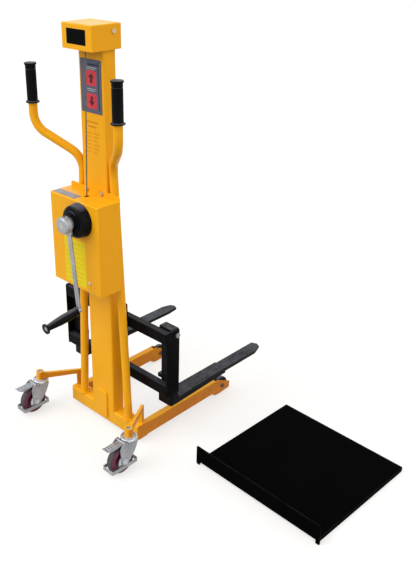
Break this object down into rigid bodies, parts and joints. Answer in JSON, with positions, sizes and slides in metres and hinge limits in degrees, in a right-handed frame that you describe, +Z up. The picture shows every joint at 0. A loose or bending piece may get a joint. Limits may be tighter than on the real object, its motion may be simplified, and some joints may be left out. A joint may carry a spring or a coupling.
{
  "type": "winch lifter",
  "caption": "Hand winch stacker: channel mast on a wheeled base with legs, crank winch and wire rope lifting a fork carriage, and a loose load platform beside it.",
  "frame": {"origin": "on the floor, in the lifter's middle plane, below the rear face of the mast", "axes": "+X to the operator's right, +Y forward along the forks, +Z up"},
  "size_m": [1.1767, 0.8739, 1.4],
  "materials": {
    "yellow_paint": "semi-gloss powder coat",
    "black_paint": "satin powder coat",
    "fork_paint": "worn satin paint",
    "deck_paint": "satin powder coat",
    "zinc": "zinc plated",
    "bright_steel": "machined",
    "rope_steel": "stranded wire",
    "frame_steel": "plain",
    "tyre_rubber": "matt",
    "wheel_plastic": "moulded",
    "grip_rubber": "ribbed, matt",
    "black_plastic": "moulded, satin",
    "roller_nylon": "turned nylon",
    "plate_grey": "printed sheet"
  },
  "bodies": {
    "frame": {"base_crossbeam": "yellow_paint", "leg_left": "yellow_paint", "leg_right": "yellow_paint", "front_axles": "frame_steel", "caster_arm_left": "yellow_paint", "caster_arm_right": "yellow_paint", "swivel_races": "zinc", "mast": "yellow_paint", "mast_foot_plate": "yellow_paint", "handle_left": "yellow_paint", "handle_right": "yellow_paint", "hand_grip_left": "grip_rubber", "hand_grip_right": "grip_rubber", "winch_housing": "yellow_paint", "winch_back_plate": "yellow_paint", "frame_bolts": "zinc", "winch_frame": "frame_steel", "brake_cover": "black_plastic", "info_plate": "plate_grey", "top_cap": "yellow_paint", "pulley_bracket": "frame_steel", "pulley_axle": "bright_steel", "rope_outer": "rope_steel", "rope_inner_fall": "rope_steel"},
    "carriage": {"carriage_plate": "black_paint", "guide_axles": "bright_steel", "rope_anchor": "black_paint", "upper_beam": "black_paint", "lower_beam": "black_paint", "end_plates": "black_paint", "fork_bolts": "zinc", "fork_left": "fork_paint", "fork_right": "fork_paint"},
    "winch": {"winch_drum": "frame_steel", "rope_on_drum": "rope_steel", "winch_shaft": "bright_steel", "brake_pack": "frame_steel", "crank_arm": "zinc"},
    "crank_grip": {"crank_grip": "black_plastic"},
    "pawl": {"pawl": "bright_steel"},
    "pulley": {"rope_pulley": "roller_nylon"},
    "platform": {"platform": "deck_paint"},
    "guide_upper_left": {"guide_roller_upper_left": "roller_nylon"},
    "guide_upper_right": {"guide_roller_upper_right": "roller_nylon"},
    "guide_lower_left": {"guide_roller_lower_left": "roller_nylon"},
    "guide_lower_right": {"guide_roller_lower_right": "roller_nylon"},
    "caster_left": {"caster_yoke_left": "zinc", "caster_guard_left": "zinc", "caster_axle_left": "zinc"},
    "wheel_left": {"caster_wheel_left": "wheel_plastic", "caster_tyre_left": "tyre_rubber"},
    "pedal_left": {"caster_pedal_left": "zinc"},
    "front_left": {"front_roller_left": "black_plastic"},
    "caster_right": {"caster_yoke_right": "zinc", "caster_guard_right": "zinc", "caster_axle_right": "zinc"},
    "wheel_right": {"caster_wheel_right": "wheel_plastic", "caster_tyre_right": "tyre_rubber"},
    "pedal_right": {"caster_pedal_right": "zinc"},
    "front_right": {"front_roller_right": "black_plastic"}
  },
  "joints": [
    {"name": "carriage_lift", "type": "slide", "parent": "frame", "child": "carriage", "axis": [0, 0, 1], "range_m": [-0.09, 0.8], "deforming": ["rope_inner_fall"]},
    {"name": "winch_turn", "type": "hinge", "parent": "frame", "child": "winch", "pos_m": [0.031, -0.045, 0.824], "axis": [0, -1, 0], "range_deg": [-200.3, 1764.9]},
    {"name": "pulley_turn", "type": "hinge", "parent": "frame", "child": "pulley", "pos_m": [0, 0.007, 1.365], "axis": [1, 0, 0], "range_deg": [-216.9, 1911.9]},
    {"name": "guide_upper_left_roll", "type": "hinge", "parent": "carriage", "child": "guide_upper_left", "pos_m": [-0.036, 0.025, 0.465], "axis": [-1, 0, 0], "range_deg": [-251.1, 2216.3]},
    {"name": "guide_upper_right_roll", "type": "hinge", "parent": "carriage", "child": "guide_upper_right", "pos_m": [0.036, 0.025, 0.465], "axis": [-1, 0, 0], "range_deg": [-251.1, 2216.3]},
    {"name": "guide_lower_left_roll", "type": "hinge", "parent": "carriage", "child": "guide_lower_left", "pos_m": [-0.036, 0.025, 0.23], "axis": [1, 0, 0], "range_deg": [-251.1, 2216.3]},
    {"name": "guide_lower_right_roll", "type": "hinge", "parent": "carriage", "child": "guide_lower_right", "pos_m": [0.036, 0.025, 0.23], "axis": [1, 0, 0], "range_deg": [-251.1, 2216.3]},
    {"name": "crank_grip_spin", "type": "hinge", "parent": "winch", "child": "crank_grip", "pos_m": [0.064, -0.138, 0.539], "axis": [0, 0.9925, 0.1219], "continuous": true},
    {"name": "pawl_swing", "type": "hinge", "parent": "frame", "child": "pawl", "pos_m": [-0.00797, -0.1, 0.8465], "axis": [0, -1, 0], "range_deg": [0, 6]},
    {"name": "caster_left_swivel", "type": "hinge", "parent": "frame", "child": "caster_left", "pos_m": [-0.2405, -0.096, 0.11], "axis": [0, 0, 1], "continuous": true},
    {"name": "wheel_left_roll", "type": "hinge", "parent": "caster_left", "child": "wheel_left", "pos_m": [-0.2405, -0.136, 0.05], "axis": [1, 0, 0], "continuous": true},
    {"name": "pedal_left_press", "type": "hinge", "parent": "caster_left", "child": "pedal_left", "pos_m": [-0.2405, -0.131, 0.1163], "axis": [1, 0, 0], "range_deg": [0, 34]},
    {"name": "front_left_roll", "type": "hinge", "parent": "frame", "child": "front_left", "pos_m": [-0.1685, 0.449, 0.033], "axis": [1, 0, 0], "continuous": true},
    {"name": "caster_right_swivel", "type": "hinge", "parent": "frame", "child": "caster_right", "pos_m": [0.2405, -0.096, 0.11], "axis": [0, 0, 1], "continuous": true},
    {"name": "wheel_right_roll", "type": "hinge", "parent": "caster_right", "child": "wheel_right", "pos_m": [0.2405, -0.136, 0.05], "axis": [1, 0, 0], "continuous": true},
    {"name": "pedal_right_press", "type": "hinge", "parent": "caster_right", "child": "pedal_right", "pos_m": [0.2405, -0.131, 0.1163], "axis": [1, 0, 0], "range_deg": [0, 34]},
    {"name": "front_right_roll", "type": "hinge", "parent": "frame", "child": "front_right", "pos_m": [0.1685, 0.449, 0.033], "axis": [1, 0, 0], "continuous": true},
    {"name": "platform_lift_off", "type": "slide", "parent": "frame", "child": "platform", "axis": [0, 0, 1], "range_m": [0, 0.5]}
  ],
  "couplings": [
    {"joint": "winch_turn", "follows": "carriage_lift", "rad_per_m": 38.462},
    {"joint": "pulley_turn", "follows": "carriage_lift", "rad_per_m": 41.667},
    {"joint": "guide_upper_left_roll", "follows": "carriage_lift", "rad_per_m": 48.309},
    {"joint": "guide_upper_right_roll", "follows": "carriage_lift", "rad_per_m": 48.309},
    {"joint": "guide_lower_left_roll", "follows": "carriage_lift", "rad_per_m": 48.309},
    {"joint": "guide_lower_right_roll", "follows": "carriage_lift", "rad_per_m": 48.309}
  ]
}
